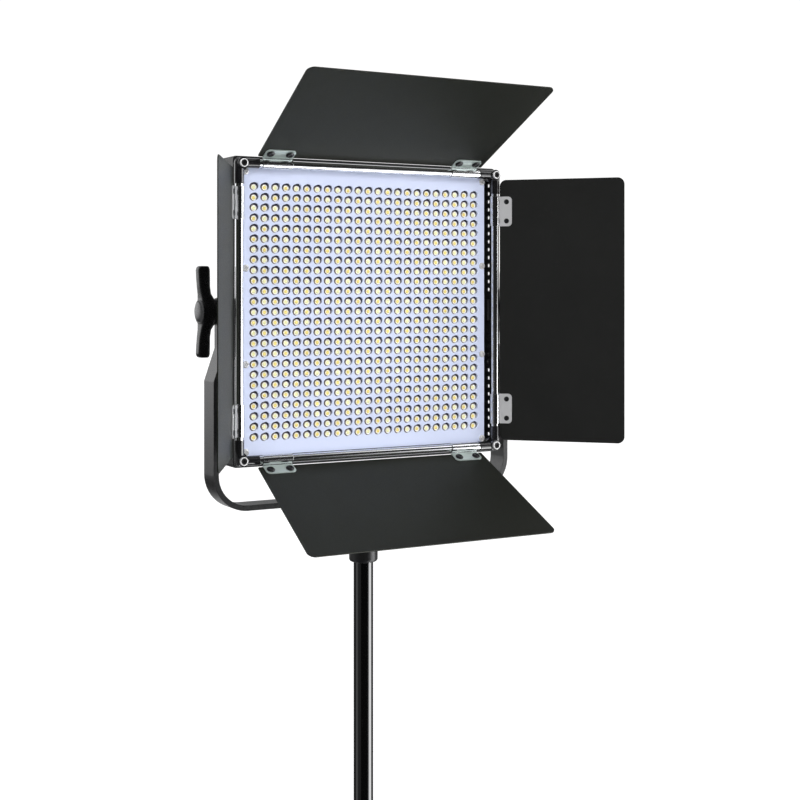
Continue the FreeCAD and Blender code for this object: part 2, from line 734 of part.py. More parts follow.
SR, SB, HL, HR = d("sleeve_rad"), d("sleeve_bore"), d("hp_len"), d("hp_reach")
for side, angle, kind, at in (
    ("top", "open_top", "top", (0, RY, tz + RZ)),
    ("bottom", "open_bottom", "top", (0, RY, tz - RZ)),
    ("left", "open_left", "side", (-RX, RY, tz)),
    ("right", "open_right", "side", (RX, RY, tz)),
):
    rot = door_frame(side, val[angle])
    hc = d("hp_" + kind)
    root, reach = d(kind + "_root"), d(kind + "_reach")
    hw0, hw1 = d(kind + "_hw_root"), d(kind + "_hw_edge")
    lc = d("leaf_corner")
    lr = d("leaf_heel") if kind == "top" else lc
    # leaf: outline in the local XZ plane, which lies just outside the sleeves
    b = new_body("leaf_" + side, at, rot)
    sk = sketch(b, "XZ_Plane", -SR - d("leaf_thick"))
    poly(sk, [
        (root + lr, -hw0),
        ("arc", reach - lc, -hw1, reach - lc, -hw1 + lc, True),
        (reach, -hw1 + lc), ("arc", reach, hw1 - lc, reach - lc, hw1 - lc, True),
        (reach - lc, hw1), ("arc", root + lr, hw0, root + lr, hw0 - lr, True),
        (root, hw0 - lr), ("arc", root, -hw0 + lr, root + lr, -hw0 + lr, True),
    ])
    pad(b, sk, d("leaf_thick"))
    sk = sketch(b, "XZ_Plane", -SR - 4)
    for s in (1, -1):
        for t in (1, -1):
            disc(sk, d("hp_hole"), hc * s + d("hp_gap") * (0.5 * t), 1.6)
    f = pocket(b, sk, 8)
    f.Reversed = True
    doc.recompute()

    # two hinge plates, each a sleeve rolled round the rod with a flat tail
    hinges, screws = [], []
    for s in (1, -1):
        z0 = hc * s - HL * 0.5
        sleeve = cyl("z", SR, z0, z0 + HL, 0, 0)
        tail = box(0, HR, SR - 1.0, SR, z0, z0 + HL)
        fillets = []
        for t in (1, -1):
            zc = hc * s + HL * (0.5 * t)
            zl, zh = span(zc - 4.0 * t, zc + 1.0 * t)
            fillets.append(cut(
                box(HR - 4, HR + 1, SR - 2, SR + 1, zl, zh),
                cyl("y", 4.0, SR - 3, SR + 2, HR - 4, zc - 4.0 * t)))
        holes = [cyl("y", 1.6, SR - 3, SR + 3, d("hp_hole"), hc * s + d("hp_gap") * (0.5 * t)) for t in (1, -1)]
        hinges.append(cut(fuse(sleeve, tail), cyl("z", SB, z0 - 1, z0 + HL + 1, 0, 0), *(fillets + holes)))
        for t in (1, -1):
            x, z = d("hp_hole"), hc * s + d("hp_gap") * (0.5 * t)
            rh = 4.0 if kind == "top" else 2.6
            hh = 1.9 if kind == "top" else 1.2
            y1 = SR - 1.0
            head = fuse(cyl("y", rh, y1 - hh * 0.5, y1, x, z), cone("y", rh - 1.2, rh, y1 - hh, y1 - hh * 0.5, x, z))
            shank = cyl("y", 1.55, y1, SR + d("leaf_thick"), x, z)
            tail_end = cyl("y", 2.3, SR + d("leaf_thick"), SR + d("leaf_thick") + 0.8, x, z)
            one = fuse(head, shank, tail_end)
            if kind == "top":
                one = cut(one,
                          box(x - 2.1, x + 2.1, y1 - 3, y1 - 1.1, z - 0.5, z + 0.5),
                          box(x - 0.5, x + 0.5, y1 - 3, y1 - 1.1, z - 2.1, z + 2.1))
            screws.append(one)
    g = group(*hinges)
    place(g, at, rot)
    out(g, "hinge_plates_" + side)
    g = group(*screws)
    place(g, at, rot)
    out(g, "hinge_screws_" + side)

# ------------------------------------------------------------------ tilt hardware
nuts, washers = [], []
for s in (1, -1):
    n0, n1 = span(q(141.6) * s, (CW - CT) * s)
    nuts.append(cut(box(n0, n1, -11, 11, tz - 11, tz + 11), cyl("x", d("nut_bore"), n0 - 1, n1 + 1, 0, tz)))
    w0, w1 = span(CW * s, (CW + 2.4) * s)
    washers.append(cut(cyl("x", 12, w0, w1, 0, tz), cyl("x", 4.3, w0 - 1, w1 + 1, 0, tz)))
out(group(*nuts), "tilt_nuts")
out(group(*washers), "friction_washers")

for side, s in (("left", -1), ("right", 1)):
    # local Z points outwards from the head, local X runs along the wings
    ax = V(s, 0, 0)
    xa = V(0, 0, 1)
    ya = ax.cross(xa)
    m = FreeCAD.Matrix(xa.x, ya.x, ax.x, 0, xa.y, ya.y, ax.y, 0, xa.z, ya.z, ax.z, 0, 0, 0, 0, 1)
    rot = FreeCAD.Placement(m).Rotation
    b = new_body("tilt_knob_" + side, (155.5 * s, 0, tz), rot)
    sk = sketch(b, "XZ_Plane")
    KR = d("knob_rad")
    poly(sk, [(0, 0), (KR - 1.5, 0), (KR, 1.5), (KR, 8), (KR - 1.5, 12), (KR - 1.5, 19.2), (KR - 2.7, 20.4),
              (KR - 4.2, 20.4), (KR - 5, 21.6), (0, 22.6)])
    spin(b, sk)
    sk = sketch(b, "XY_Plane", 10.5)
    KS = d("knob_span")
    poly(sk, [
        (8, -10.5), (14, -7.4), (21, -5.0), (30, -4.3),
        ("arc", KS - 4.8, -4.8, KS - 4.8, 0, True),
        (KS - 4.8, 4.8), (30, 4.3), (21, 5.0), (14, 7.4), (8, 10.5),
        (-8, 10.5), (-14, 7.4), (-21, 5.0), (-30, 4.3), ("arc", -KS + 4.8, 4.8, -KS + 4.8, 0, True),
        (-KS + 4.8, -4.8), (-30, -4.3), (-21, -5.0), (-14, -7.4), (-8, -10.5),
    ])
    pad(b, sk, 9.6)
    sk = sketch(b, "XY_Plane", 16)
    disc(sk, 0, 0, d("stud_rad"))
    pocket(b, sk, 20)
    s0, s1 = span(q(139.0) * s, q(171.5) * s)
    out(cyl("x", d("stud_rad"), s0, s1, 0, tz), "tilt_stud_" + side)

# ------------------------------------------------------------------ rear controls
HW, HB, HT = d("hump_hw"), d("hump_back"), d("hump_wall")
HLO, HHI = d("hump_low"), d("hump_high")
b = new_body("control_housing", (0, 0, tz))
sk = sketch(b, "XZ_Plane", -HB)
poly(sk, round_rect(HW, HLO, HHI, q(6.0)))
pad(b, sk, HB - CB)
sk = sketch(b, "XZ_Plane", -CB + 1)
poly(sk, round_rect(HW - HT, HLO + HT, HHI - HT, q(4.0)))
pocket(b, sk, HB - HT - CB + 1)
# stepped bosses: the board sits on the shoulder, the foot reaches the casing
bosses = [(x, z) for x in (-50, 50) for z in (-86, 53)]
sk = sketch(b, "XZ_Plane", -HB + HT)
for x, z in bosses:
    disc(sk, x, z, 4.4)
pad(b, sk, HB - HT - 35.65)
sk = sketch(b, "XZ_Plane", -36)
for x, z in bosses:
    disc(sk, x, z, 3.0)
pad(b, sk, q(36.0) - CB)
sk = sketch(b, "XZ_Plane", -HB - 5)
for x, z in bosses:
    disc(sk, x, z, 1.6)
f = pocket(b, sk, 40)
f.Reversed = True
sk = sketch(b, "XZ_Plane", -HB - 5)
poly(sk, [(-30, 18), (30, 18), (30, 46), (-30, 46)])
for s in (1, -1):
    disc(sk, d("dial_x") * s, d("dial_z"), 3.05)
disc(sk, 0, d("dial_z"), 5.05)
poly(sk, [(-6.25, -67.8), (6.25, -67.8), (6.25, -52.2), (-6.25, -52.2)])
disc(sk, 38, -60, 5.6)
f = pocket(b, sk, 10)
f.Reversed = True
doc.recompute()

out(box(-29.9, 29.9, 44.6, HB + 0.3, tz + 18.1, tz + 45.9), "display_window")
ctrl = box(-54, 54, 34, 35.6, tz - 88, tz + 55)
lcd = box(-28, 28, 35.6, 44.2, tz + 19, tz + 45)
encs = [box(s * 34 - 6.5, s * 34 + 6.5, 35.6, 42, tz - 20.5, tz - 7.5) for s in (1, -1)]
tact = box(-3, 3, 35.6, 40, tz - 17, tz - 11)
out(cut(fuse(ctrl, lcd, *(encs + [tact])),
        *[cyl("y", 3.05, 33, 43, d("dial_x") * s, tz + d("dial_z")) for s in (1, -1)],
        box(-8, 8, 33, 36, tz - 70, tz - 50), cyl("y", 6.2, 33, 36, 38, tz - 60),
        *[cyl("y", 3.05, 33, 37, x, tz + z) for x, z in bosses]), "control_board")
for name, s in (("brightness_dial", 1), ("colour_dial", -1)):
    b = new_body(name, (d("dial_x") * s, 0, tz + d("dial_z")), FreeCAD.Rotation(V(1, 0, 0), -90))
    sk = sketch(b, "XY_Plane", 46.5)
    disc(sk, 0, 0, d("dial_rad"))
    pad(b, sk, 12)
    sk = sketch(b, "XY_Plane", 36)
    disc(sk, 0, 0, 3.0)
    pad(b, sk, 11)
    sk = sketch(b, "XY_Plane", 60)
    for k in range(24):
        a = math.radians(15 * k)
        disc(sk, 9.9 * math.cos(a), 9.9 * math.sin(a), 0.8)
    pocket(b, sk, 11)
    sk = sketch(b, "XY_Plane", 60)
    poly(sk, [(-0.6, 3.5), (0.6, 3.5), (0.6, 8), (-0.6, 8)])
    pocket(b, sk, 2.1)
out(fuse(cyl("y", 5.0, 43, HB + 1.6, 0, tz + d("dial_z")), cyl("y", 6.2, 41.8, 43.6, 0, tz + d("dial_z")),
         cyl("y", 1.6, 41.2, 42, 0, tz + d("dial_z"))), "mode_button")

b = new_body("power_rocker", (0, 40, tz - 60))
sk = sketch(b, "YZ_Plane", -6)
r8 = 8.5


def at_deg(a, r):
    return (r * math.cos(math.radians(a)), r * math.sin(math.radians(a)))


poly(sk, [at_deg(-118, 6), at_deg(-52, r8), at_deg(-36, r8), at_deg(0, 7.0), at_deg(36, r8), at_deg(52, r8), at_deg(118, 6)])
pad(b, sk, 12)
sk = sketch(b, "YZ_Plane", -9)
disc(sk, 0, 0, 1.5)
pad(b, sk, 18)
ears = [cut(box(x0, x1, 35.6, 44, tz - 63.5, tz - 56.5), cyl("x", 1.55, -12, 12, 40, tz - 60)) for x0, x1 in ((-9.2, -6.4), (6.4, 9.2))]
out(group(*ears), "rocker_bearings")
out(fuse(cut(fuse(cyl("y", 5.6, 33, HB, 38, tz - 60), cyl("y", 7.4, HB, HB + 1.4, 38, tz - 60)),
             cyl("y", 2.8, 36, 50, 38, tz - 60)), cyl("y", 1.0, 35.5, 45, 38, tz - 60)), "power_inlet")

BX, BW, BL, BH = d("batt_x"), d("batt_hw"), d("batt_low"), d("batt_high")
contacts = []
for side, s in (("left", -1), ("right", 1)):
    cx = BX * s
    base = box(cx - BW, cx + BW, CB, CB + 4.5, tz + BL, tz + BH)
    rails = []
    for t in (1, -1):
        r0, r1 = span(cx + (BW - 3.0) * t, cx + BW * t)
        l0, l1 = span(cx + (BW - 5.2) * t, cx + BW * t)
        rails += [box(r0, r1, CB + 4.5, CB + 9, tz + BL, tz + BH - 12), box(l0, l1, CB + 7.2, CB + 9, tz + BL, tz + BH - 12)]
    stop = box(cx - BW, cx + BW, CB + 4.5, CB + 8, tz + BL, tz + BL + 5)
    slot = box(cx - 6.1, cx + 6.1, CB + 1, CB + 5, tz + BH - 14, tz + BH - 2)
    scr = [cyl("y", 1.6, CB - 1, CB + 6, cx, tz + z) for z in (-45, 13)]
    head = [cyl("y", 3.2, CB + 2.6, CB + 9, cx, tz + z) for z in (-45,)]
    out(cut(fuse(base, stop, *rails), slot, *(scr[:1] + head)), "battery_shoe_" + side)
    out(fuse(box(cx - 5.9, cx + 5.9, CB + 1.2, CB + 4.4, tz + BH - 10, tz + BH - 2.4),
             box(cx - 5.0, cx + 5.0, CB + 4.4, CB + 7.4, tz + BH - 10, tz + BH - 7.2)), "battery_latch_" + side)
    for t in (-9, 0, 9):
        contacts.append(box(cx + t - 1.2, cx + t + 1.2, CB + 4.5, CB + 7.0, tz + BL + 5, tz + BL + 11))
out(group(*contacts), "battery_contacts")

heads = []
for x, z in [(-128, 128), (0, 136), (128, 128), (-128, -128), (0, -136), (128, -128), (-136, 0), (136, 0)]:
    heads.append((x, z, CB, 14.0))
for x in (-50, 50):
    for z in (-86, 53):
        heads.append((x, z, HB, 14.0))
screws = []
for x, z, y, deep in heads:
    screws.append(cut(
        fuse(cyl("y", 1.5, deep, y, x, tz + z), cyl("y", 3.0, y, y + 1.0, x, tz + z),
             cone("y", 3.0, 2.0, y + 1.0, y + 1.9, x, tz + z)),
        box(x - 1.8, x + 1.8, y + 1.0, y + 3, tz + z - 0.4, tz + z + 0.4),
        box(x - 0.4, x + 0.4, y + 1.0, y + 3, tz + z - 1.8, tz + z + 1.8)))
out(group(*screws), "rear_screws")

# ------------------------------------------------------------------ write
doc.recompute()
bad = []
for o in doc.Objects:
    if "Invalid" in o.State or "Error" in o.State:
        bad.append((o.Name, o.Label, o.State))
if bad:
    raise SystemExit("objects with errors: %r" % bad[:10])
os.makedirs("parts", exist_ok=True)
for o in exports:
    s = o.Shape
    if s.isNull() or not s.isValid() or not s.Solids:
        raise SystemExit("bad shape: " + o.Label)
    s.exportStep("parts/%s.step" % o.Label)
    bb = s.BoundBox
    print("%-22s solids %3d vol %10.1f  x %.1f %.1f  y %.1f %.1f  z %.1f %.1f" % (
        o.Label, len(s.Solids), s.Volume, bb.XMin, bb.XMax, bb.YMin, bb.YMax, bb.ZMin, bb.ZMax))
print(len(exports), "parts")
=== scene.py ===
import math

import bmesh
import bpy
from mathutils import Matrix, Vector


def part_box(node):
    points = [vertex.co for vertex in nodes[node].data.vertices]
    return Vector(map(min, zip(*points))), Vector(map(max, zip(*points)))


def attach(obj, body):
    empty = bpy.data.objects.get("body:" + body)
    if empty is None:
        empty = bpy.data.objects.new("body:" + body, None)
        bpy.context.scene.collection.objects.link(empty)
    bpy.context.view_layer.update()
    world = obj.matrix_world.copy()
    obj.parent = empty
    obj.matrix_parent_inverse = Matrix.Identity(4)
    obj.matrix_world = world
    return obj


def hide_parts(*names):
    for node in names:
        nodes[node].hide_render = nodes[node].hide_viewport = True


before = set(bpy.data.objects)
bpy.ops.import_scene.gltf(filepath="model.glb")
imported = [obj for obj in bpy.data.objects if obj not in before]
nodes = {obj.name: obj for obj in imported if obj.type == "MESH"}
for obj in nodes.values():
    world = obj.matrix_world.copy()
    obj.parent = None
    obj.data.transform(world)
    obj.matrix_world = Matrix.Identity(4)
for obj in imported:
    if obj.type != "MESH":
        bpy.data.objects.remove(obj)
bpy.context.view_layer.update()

MM = 0.001
TZ = 0.505          # tilt axis height
ROD_Y = -0.0215


# ------------------------------------------------------------------ materials
def new_mat(name):
    m = bpy.data.materials.new(name)
    m.use_nodes = True
    nt = m.node_tree
    nt.nodes.clear()
    out = nt.nodes.new("ShaderNodeOutputMaterial")
    p = nt.nodes.new("ShaderNodeBsdfPrincipled")
    nt.links.new(p.outputs[0], out.inputs[0])
    return m, nt, p


def noise(nt, vec, scale, detail=3.0, rough=0.55):
    n = nt.nodes.new("ShaderNodeTexNoise")
    n.inputs["Scale"].default_value = scale
    n.inputs["Detail"].default_value = detail
    n.inputs["Roughness"].default_value = rough
    nt.links.new(vec, n.inputs["Vector"])
    return n.outputs["Fac"]


def ramp(nt, fac, lo, hi, a, b):
    r = nt.nodes.new("ShaderNodeMapRange")
    r.inputs["From Min"].default_value = lo
    r.inputs["From Max"].default_value = hi
    r.inputs["To Min"].default_value = a
    r.inputs["To Max"].default_value = b
    nt.links.new(fac, r.inputs["Value"])
    return r.outputs["Result"]


def mix(nt, fac, a, b):
    m = nt.nodes.new("ShaderNodeMix")
    m.data_type = "RGBA"
    if isinstance(fac, (int, float)):
        m.inputs[0].default_value = fac
    else:
        nt.links.new(fac, m.inputs[0])
    for i, c in ((6, a), (7, b)):
        if isinstance(c, tuple):
            m.inputs[i].default_value = (*c, 1.0)
        else:
            nt.links.new(c, m.inputs[i])
    return m.outputs[2]


def surface(name, base, rough, metal=0.0, spec=0.5, coat=0.0, coat_rough=0.05, vary=0.12, grain=900.0, bump=0.02,
            soft=0.0, wear=0.0, wear_col=(0.45, 0.45, 0.46), stretch=None, rough_vary=0.08, blotch=18.0, dust=0.0,
            sheen=0.0, tint=None):
    """One procedural surface: colour drift, grain, roughness drift, rounded and worn edges."""
    m, nt, p = new_mat(name)
    tc = nt.nodes.new("ShaderNodeTexCoord")
    mp = nt.nodes.new("ShaderNodeMapping")
    if stretch:
        mp.inputs["Scale"].default_value = stretch
    nt.links.new(tc.outputs["Object"], mp.inputs["Vector"])
    fine = noise(nt, mp.outputs[0], grain, 4.0)
    broad = noise(nt, tc.outputs["Object"], blotch, 4.0, 0.6)
    dark = tuple(c * (1 - vary) for c in base)
    light = tuple(min(1.0, c * (1 + vary)) for c in base)
    col = mix(nt, ramp(nt, broad, 0.3, 0.7, 0, 1), dark, light)
    col = mix(nt, ramp(nt, fine, 0.35, 0.65, 0.0, 0.35), col, tuple(min(1.0, c * (1 + vary * 1.2)) for c in base))
    if dust:
        spots = noise(nt, tc.outputs["Object"], 260.0, 6.0, 0.7)
        col = mix(nt, ramp(nt, spots, 0.60, 0.78, 0.0, dust), col, (0.30, 0.30, 0.30))
    normal = None
    if soft:
        bv = nt.nodes.new("ShaderNodeBevel")
        bv.samples = 4
        bv.inputs["Radius"].default_value = soft
        normal = bv.outputs[0]
        if wear:
            geo = nt.nodes.new("ShaderNodeNewGeometry")
            dot = nt.nodes.new("ShaderNodeVectorMath")
            dot.operation = "DOT_PRODUCT"
            nt.links.new(bv.outputs[0], dot.inputs[0])
            nt.links.new(geo.outputs["Normal"], dot.inputs[1])
            edge = ramp(nt, dot.outputs["Value"], 0.97, 0.80, 0.0, 1.0)
            mul = nt.nodes.new("ShaderNodeMath")
            mul.operation = "MULTIPLY"
            nt.links.new(edge, mul.inputs[0])
            nt.links.new(ramp(nt, noise(nt, tc.outputs["Object"], 420.0, 5.0), 0.48, 0.66, 0.0, wear), mul.inputs[1])
            col = mix(nt, mul.outputs[0], col, wear_col)
    nt.links.new(col, p.inputs["Base Color"])
    nt.links.new(ramp(nt, fine, 0.3, 0.7, max(0.02, rough - rough_vary), min(1.0, rough + rough_vary)),
                 p.inputs["Roughness"])
    bp = nt.nodes.new("ShaderNodeBump")
    bp.inputs["Strength"].default_value = 1.0
    bp.inputs["Distance"].default_value = bump * MM
    nt.links.new(fine, bp.inputs["Height"])
    if normal:
        nt.links.new(normal, bp.inputs["Normal"])
    nt.links.new(bp.outputs[0], p.inputs["Normal"])
    p.inputs["Metallic"].default_value = metal
    p.inputs["Specular IOR Level"].default_value = spec
    p.inputs["Coat Weight"].default_value = coat
    p.inputs["Coat Roughness"].default_value = coat_rough
    if tint:
        p.inputs["Specular Tint"].default_value = (*tint, 1.0)
    if sheen:
        p.inputs["Sheen Weight"].default_value = sheen
    return m


def sleeve_plate(name, base, axis, centre, metal=0.45, rough=0.34):
    """Satin zinc plate whose sleeve, the part rolled round the rod, is polished bright."""
    m = surface(name, base, rough, metal=metal, vary=0.07, grain=600, bump=0.02, rough_vary=0.06, soft=0.0006,
                stretch=(1, 12, 12) if axis == "x" else (12, 12, 1))
    nt = m.node_tree
    p = [n for n in nt.nodes if n.type == "BSDF_PRINCIPLED"][0]
    tc = nt.nodes.new("ShaderNodeTexCoord")
    sub = nt.nodes.new("ShaderNodeVectorMath")
    sub.operation = "SUBTRACT"
    nt.links.new(tc.outputs["Object"], sub.inputs[0])
    sub.inputs[1].default_value = centre
    msk = nt.nodes.new("ShaderNodeVectorMath")
    msk.operation = "MULTIPLY"
    nt.links.new(sub.outputs[0], msk.inputs[0])
    msk.inputs[1].default_value = (0, 1, 1) if axis == "x" else (1, 1, 0)
    ln = nt.nodes.new("ShaderNodeVectorMath")
    ln.operation = "LENGTH"
    nt.links.new(msk.outputs[0], ln.inputs[0])
    fac = ramp(nt, ln.outputs["Value"], 0.0052, 0.0058, 1.0, 0.0)
    old = p.inputs["Base Color"].links[0].from_socket
    nt.links.new(mix(nt, fac, old, (0.84, 0.85, 0.86)), p.inputs["Base Color"])
    nt.links.new(ramp(nt, fac, 0.0, 1.0, metal, 1.0), p.inputs["Metallic"])
    r_old = p.inputs["Roughness"].links[0].from_socket
    mr = nt.nodes.new("ShaderNodeMix")
    nt.links.new(fac, mr.inputs[0])
    nt.links.new(r_old, mr.inputs[2])
    mr.inputs[3].default_value = 0.12
    nt.links.new(mr.outputs[0], p.inputs["Roughness"])
    return m


M = {
    "leaf": surface("leaf_coat", (0.0116, 0.0122, 0.0100), 0.48, spec=0.32, tint=(0.90, 0.95, 0.82), vary=0.10, grain=1500, bump=0.012, soft=0.0004,
                    wear=0.25, dust=0.02),
    # right leaf: the leaf coat retoned lighter and bluer, with untinted reflections, for this one leaf, painted light;
    # all leaves share one paint
    "leaf_right_painted_light": surface("leaf_coat_right_painted_light", (0.0122, 0.0124, 0.0118), 0.46, spec=0.32, vary=0.10, grain=1500, bump=0.012,
                         soft=0.0004, wear=0.25, dust=0.02),
    # left leaf: the leaf coat darkened and tinted olive for this one leaf, painted shade; all leaves share one paint
    "leaf_left_painted_shade": surface("leaf_coat_left_painted_shade", (0.0086, 0.0094, 0.0078), 0.46, spec=0.24, tint=(0.80, 0.87, 0.67), vary=0.10, grain=1500, bump=0.012,
                        soft=0.0004, wear=0.25, dust=0.02),
    "casing": surface("casing_coat", (0.012, 0.0125, 0.013), 0.42, spec=0.4, vary=0.12, grain=1300, bump=0.02, soft=0.0006,
                      wear=0.3, dust=0.03),
    "housing": surface("housing_plastic", (0.018, 0.018, 0.019), 0.5, spec=0.4, vary=0.1, grain=1800, bump=0.04,
                       soft=0.0010, dust=0.03),
    "yoke": surface("yoke_coat", (0.015, 0.015, 0.0155), 0.33, spec=0.52, vary=0.10, grain=1200, bump=0.02, soft=0.0008,
                    wear=0.35, dust=0.03),
    "tube": surface("tube_gloss", (0.0015, 0.0015, 0.0016), 0.13, spec=0.55, coat=0.8, coat_rough=0.04, vary=0.15,
                    grain=500, bump=0.004, rough_vary=0.03),
    "collar": surface("collar_coat", (0.010, 0.010, 0.0105), 0.36, spec=0.42, vary=0.10, grain=1200, bump=0.02,
                      soft=0.0006, wear=0.3, dust=0.02),
    "reflector": surface("reflector_enamel", (0.68, 0.74, 0.94), 0.42, spec=0.35, vary=0.02, grain=700, bump=0.008,
                         rough_vary=0.05, soft=0.0002, blotch=9.0),
    # LED board: a real board with a solder mask, its dark navy colour painted shade standing in for the shaded walls of
    # the holes
    "board": surface("board_navy_painted_shade", (0.040, 0.038, 0.075), 0.5, vary=0.2, grain=600, bump=0.01),
    "chrome": surface("chrome_plate", (0.86, 0.87, 0.88), 0.08, metal=1.0, vary=0.03, grain=900, bump=0.0003,
                      rough_vary=0.02),
    "chrome_small": surface("chrome_bright", (0.88, 0.88, 0.89), 0.16, metal=0.5, vary=0.04, grain=900, bump=0.004,
                            rough_vary=0.05, soft=0.0003),
    # corner posts are chrome; the mostly diffuse white finish is a painted reflection that makes the end ring read
    # bright
    "post": surface("post_painted_reflection", (0.92, 0.92, 0.93), 0.16, metal=0.15, vary=0.03, grain=900, bump=0.003, soft=0.0005),
    "gloss": surface("elbow_gloss", (0.008, 0.008, 0.009), 0.17, spec=0.6, coat=0.5, vary=0.2, grain=700, bump=0.006,
                     rough_vary=0.05, soft=0.0007),
    "black_screw": surface("black_oxide", (0.012, 0.012, 0.013), 0.33, metal=0.3, vary=0.25, grain=1400, bump=0.02,
                           soft=0.0004, wear=0.2),
    "steel": surface("zinc_steel", (0.56, 0.57, 0.58), 0.28, metal=1.0, vary=0.08, grain=900, bump=0.02, soft=0.0003),
    "turned": surface("turned_steel", (0.62, 0.63, 0.64), 0.22, metal=1.0, vary=0.06, grain=500, bump=0.02,
                      stretch=(1, 1, 14), soft=0.0004),
    "plastic": surface("moulded_black", (0.014, 0.014, 0.015), 0.38, spec=0.5, vary=0.12, grain=1700, bump=0.035,
                       soft=0.0005, dust=0.03),
    "aluminium": surface("mill_aluminium", (0.68, 0.69, 0.71), 0.36, metal=1.0, vary=0.06, grain=500, bump=0.02,
                         stretch=(1, 1, 10), soft=0.0003),
    "pcb": surface("solder_mask", (0.01, 0.07, 0.035), 0.35, spec=0.5, vary=0.2, grain=500, bump=0.02),
    "part_black": surface("component_resin", (0.03, 0.03, 0.032), 0.45, vary=0.15, grain=1500, bump=0.02, soft=0.0004),
    "brass": surface("contact_brass", (0.75, 0.55, 0.22), 0.25, metal=1.0, vary=0.08, grain=800, bump=0.01, soft=0.0002),
    "window": surface("display_window", (0.012, 0.016, 0.02), 0.08, spec=0.6, coat=0.6, vary=0.2, grain=300, bump=0.002,
                      rough_vary=0.03),
    "led_white": surface("led_cup", (0.97, 0.97, 0.98), 0.22, spec=0.6, vary=0.03, grain=900, bump=0.01),
    # led rim: brown painted shade on each cup's outer rim, standing in for the shaded edge of the hole
    "led_rim_painted_shade": surface("led_rim_painted_shade", (0.44, 0.36, 0.24), 0.4, spec=0.4, vary=0.08, grain=900, bump=0.01),
    "warm": surface("phosphor_warm", (0.98, 0.77, 0.26), 0.35, spec=0.5, vary=0.10, grain=1600, bump=0.02),
    "cool": surface("phosphor_cool", (0.97, 0.91, 0.50), 0.35, spec=0.5, vary=0.08, grain=1600, bump=0.02),
}

WHICH = {
    "stand_tube": "tube", "stand_spigot": "turned", "spigot_pin": "steel", "yoke_bracket": "yoke",
    "stand_receiver": "collar", "receiver_bolt": "steel", "receiver_washer": "steel", "receiver_knob": "plastic",
    "receiver_stud": "steel", "rear_casing": "casing", "reflector_plate": "reflector", "led_board": "board",
    "heat_sink": "aluminium", "plate_standoffs": "aluminium", "plate_screws": "chrome_small",
    "driver_board": "pcb", "driver_parts": "part_black", "rod_top": "chrome", "rod_bottom": "chrome",
    "rod_left": "chrome", "rod_right": "chrome", "corner_elbows": "gloss", "corner_posts": "post",
    "corner_bolts": "black_screw", "corner_brackets": "aluminium", "leaf_top": "leaf", "leaf_bottom": "leaf",
    "leaf_left": "leaf_left_painted_shade", "leaf_right": "leaf_right_painted_light", "hinge_plates_top": "hinge_top", "hinge_plates_bottom": "hinge_bottom",
    "hinge_plates_left": "hinge_left", "hinge_plates_right": "hinge_right", "hinge_screws_top": "black_screw",
    "hinge_screws_bottom": "black_screw", "hinge_screws_left": "black_screw", "hinge_screws_right": "black_screw",
    "tilt_nuts": "black_screw", "friction_washers": "plastic", "tilt_knob_left": "plastic", "tilt_knob_right": "plastic",
    "tilt_stud_left": "steel", "tilt_stud_right": "steel", "control_housing": "housing", "display_window": "window",
    "control_board": "pcb", "brightness_dial": "plastic", "colour_dial": "plastic", "mode_button": "plastic",
    "power_rocker": "plastic", "rocker_bearings": "part_black", "power_inlet": "part_black",
    "battery_shoe_left": "housing", "battery_shoe_right": "housing", "battery_latch_left": "plastic",
    "battery_latch_right": "plastic", "battery_contacts": "brass", "rear_screws": "black_screw",
    "leds_warm": "warm", "leds_cool": "cool",
}
for side, axis in (("top", "x"), ("bottom", "x"), ("left", "z"), ("right", "z")):
    lo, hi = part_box("rod_" + side)
    M["hinge_" + side] = sleeve_plate("hinge_zinc_" + side, (0.56, 0.64, 0.61) if axis == "x" else (0.68, 0.68, 0.69),
                                      axis, tuple((lo[i] + hi[i]) / 2 for i in range(3)))
for name, o in nodes.items():
    o.data.materials.clear()
    o.data.materials.append(M[WHICH[name]])


# ------------------------------------------------------------------ pieces made here
def mesh_object(name, verts, faces, mats, index=None, smooth=True):
    me = bpy.data.meshes.new(name)
    me.from_pydata(verts, [], faces)
    for m in mats:
        me.materials.append(m)
    if index:
        me.polygons.foreach_set("material_index", index)
    if smooth:
        me.polygons.foreach_set("use_smooth", [True] * len(me.polygons))
    me.update()
    o = bpy.data.objects.new(name, me)
    bpy.context.scene.collection.objects.link(o)
    return o


# LEDs: a white cup with a raised rim coloured brown as painted shade and a domed phosphor bead, one piece per colour
COLS, ROWS, DX, DZ = 23, 25, 11.29, 10.0
BOARD_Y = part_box("led_board")[0][1] / MM


